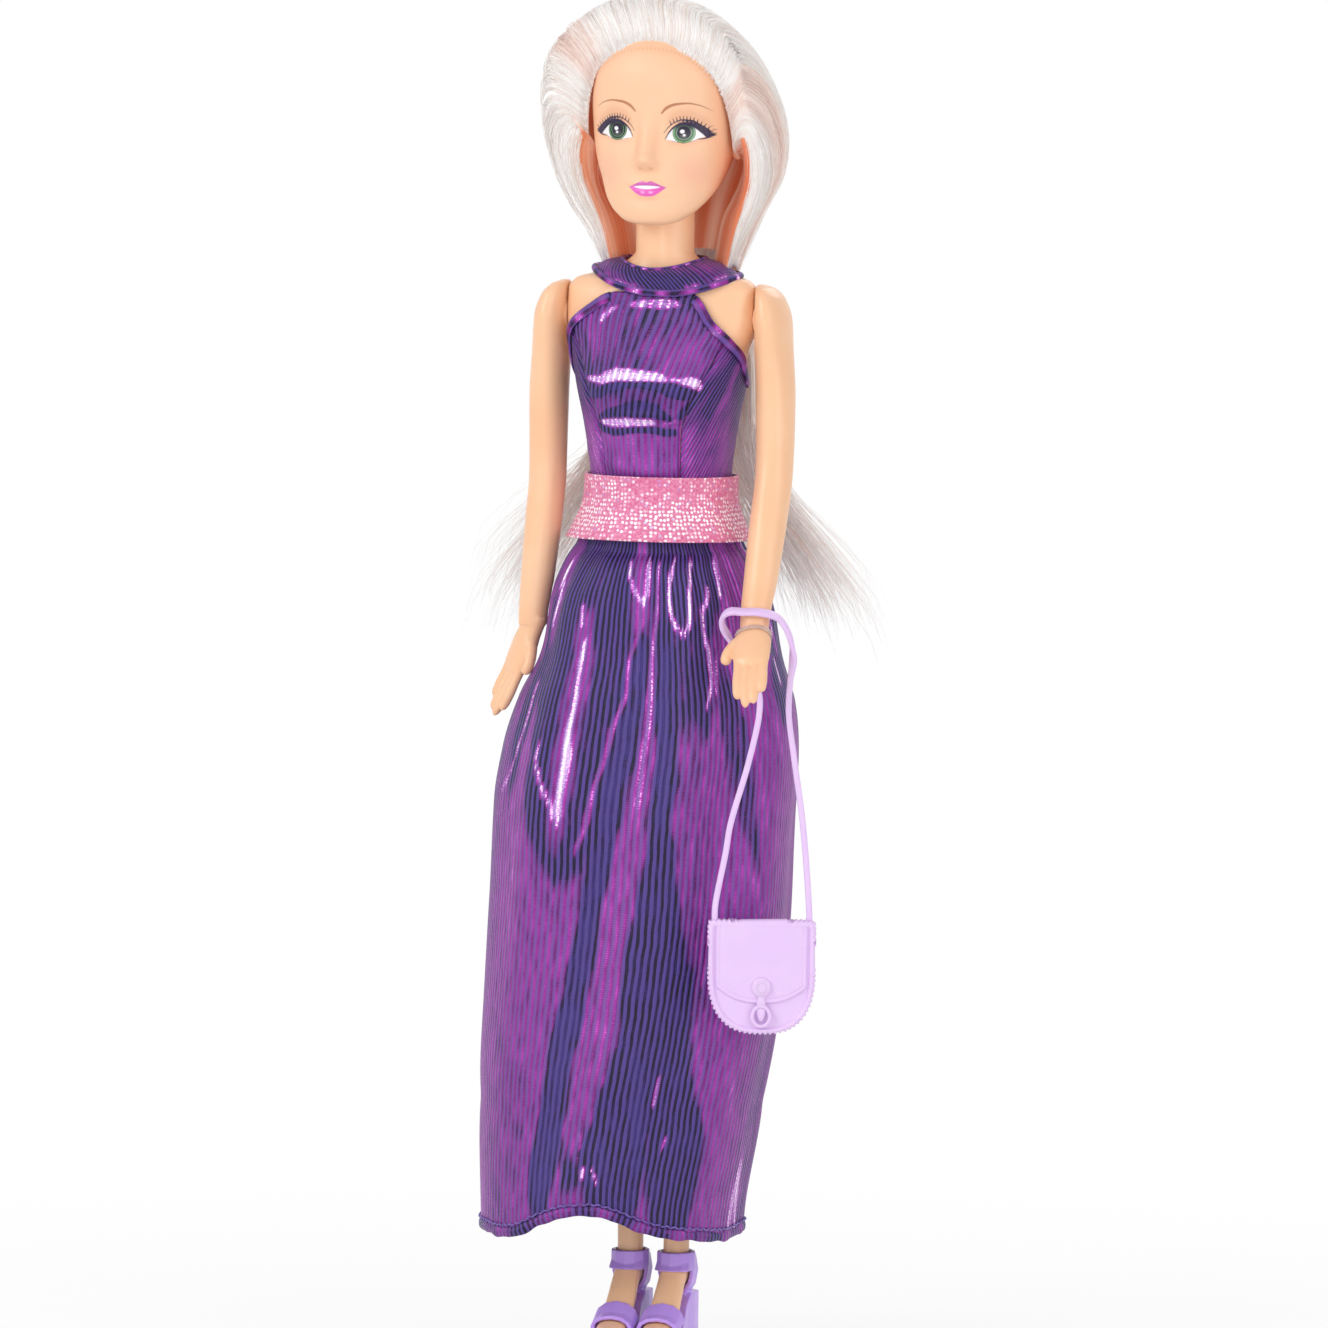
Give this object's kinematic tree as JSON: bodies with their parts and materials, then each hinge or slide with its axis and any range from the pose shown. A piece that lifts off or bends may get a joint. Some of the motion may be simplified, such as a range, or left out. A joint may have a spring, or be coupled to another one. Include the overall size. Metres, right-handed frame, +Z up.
{
  "type": "fashion doll",
  "caption": "Jointed fashion doll with rooted long hair, ribbed metallic halter gown, glitter sash, platform sandals and a moulded hand bag hung on one wrist.",
  "frame": {"origin": "on the floor between the shoes, under the middle of the doll", "axes": "+Z up, the doll looks along -Y, the doll's left hand is on the +X side"},
  "size_m": [0.0848, 0.0632, 0.29],
  "materials": {
    "skin": "smooth moulded plastic, soft sheen",
    "vinyl_skin": "soft moulded vinyl, soft sheen",
    "white_plastic": "plain moulded plastic",
    "hair": "combed synthetic fibre, silky",
    "clear_plastic": "clear elastic",
    "shoe_plastic": "moulded plastic, satin",
    "metallic_cloth": "ribbed cloth with a metallic foil",
    "dark_cloth": "ribbed cloth with a metallic foil",
    "fastener_tape": "hook and loop tape",
    "glitter_cloth": "cloth with small round glitter dots",
    "bag_plastic": "soft moulded plastic, satin"
  },
  "bodies": {
    "torso": {"torso_front": "skin", "torso_back": "skin", "neck_knob": "white_plastic", "bodice_centre": "metallic_cloth", "bodice_side_left": "metallic_cloth", "bodice_side_right": "metallic_cloth", "bodice_back_left": "dark_cloth", "bodice_back_right": "dark_cloth", "fastener_loop": "fastener_tape", "fastener_hook": "fastener_tape", "dress_collar": "metallic_cloth", "sash": "glitter_cloth", "skirt": "metallic_cloth"},
    "head": {"head": "vinyl_skin", "hair_crown": "hair", "hair_fall": "hair"},
    "arm_left": {"arm_left": "skin", "wrist_band": "clear_plastic"},
    "arm_right": {"arm_right": "skin"},
    "handbag": {"handbag_body": "bag_plastic", "handbag_strap": "bag_plastic"},
    "hips": {"hip_bar": "white_plastic"},
    "leg_left": {"leg_left": "skin", "shoe_left": "shoe_plastic"},
    "leg_right": {"leg_right": "skin", "shoe_right": "shoe_plastic"}
  },
  "joints": [
    {"name": "head_turn", "type": "hinge", "parent": "torso", "child": "head", "pos_m": [0, 0.001, 0.25], "axis": [0, 0, 1], "range_deg": [-60, 60], "deforming": ["hair_fall"]},
    {"name": "shoulder_left", "type": "hinge", "parent": "torso", "child": "arm_left", "pos_m": [0.0205, 0, 0.222], "axis": [-1, 0, 0], "range_deg": [0, 80]},
    {"name": "shoulder_right", "type": "hinge", "parent": "torso", "child": "arm_right", "pos_m": [-0.0205, 0, 0.222], "axis": [-1, 0, 0], "range_deg": [0, 120]},
    {"name": "bag_hang", "type": "hinge", "parent": "arm_left", "child": "handbag", "pos_m": [0.027, -0.0215, 0.1605], "axis": [-1, 0, 0], "range_deg": [-80, 0]},
    {"name": "hip_bend", "type": "hinge", "parent": "torso", "child": "hips", "pos_m": [0, 0, 0.152], "axis": [-1, 0, 0], "range_deg": [0, 80], "deforming": ["skirt"]},
    {"name": "leg_left_swing", "type": "hinge", "parent": "hips", "child": "leg_left", "pos_m": [0.0102, 0, 0.152], "axis": [-1, 0, 0], "range_deg": [-5, 8]},
    {"name": "leg_right_swing", "type": "hinge", "parent": "hips", "child": "leg_right", "pos_m": [-0.0102, 0, 0.152], "axis": [-1, 0, 0], "range_deg": [-5, 8]}
  ],
  "couplings": [
    {"joint": "bag_hang", "follows": "shoulder_left", "ratio": -1}
  ]
}
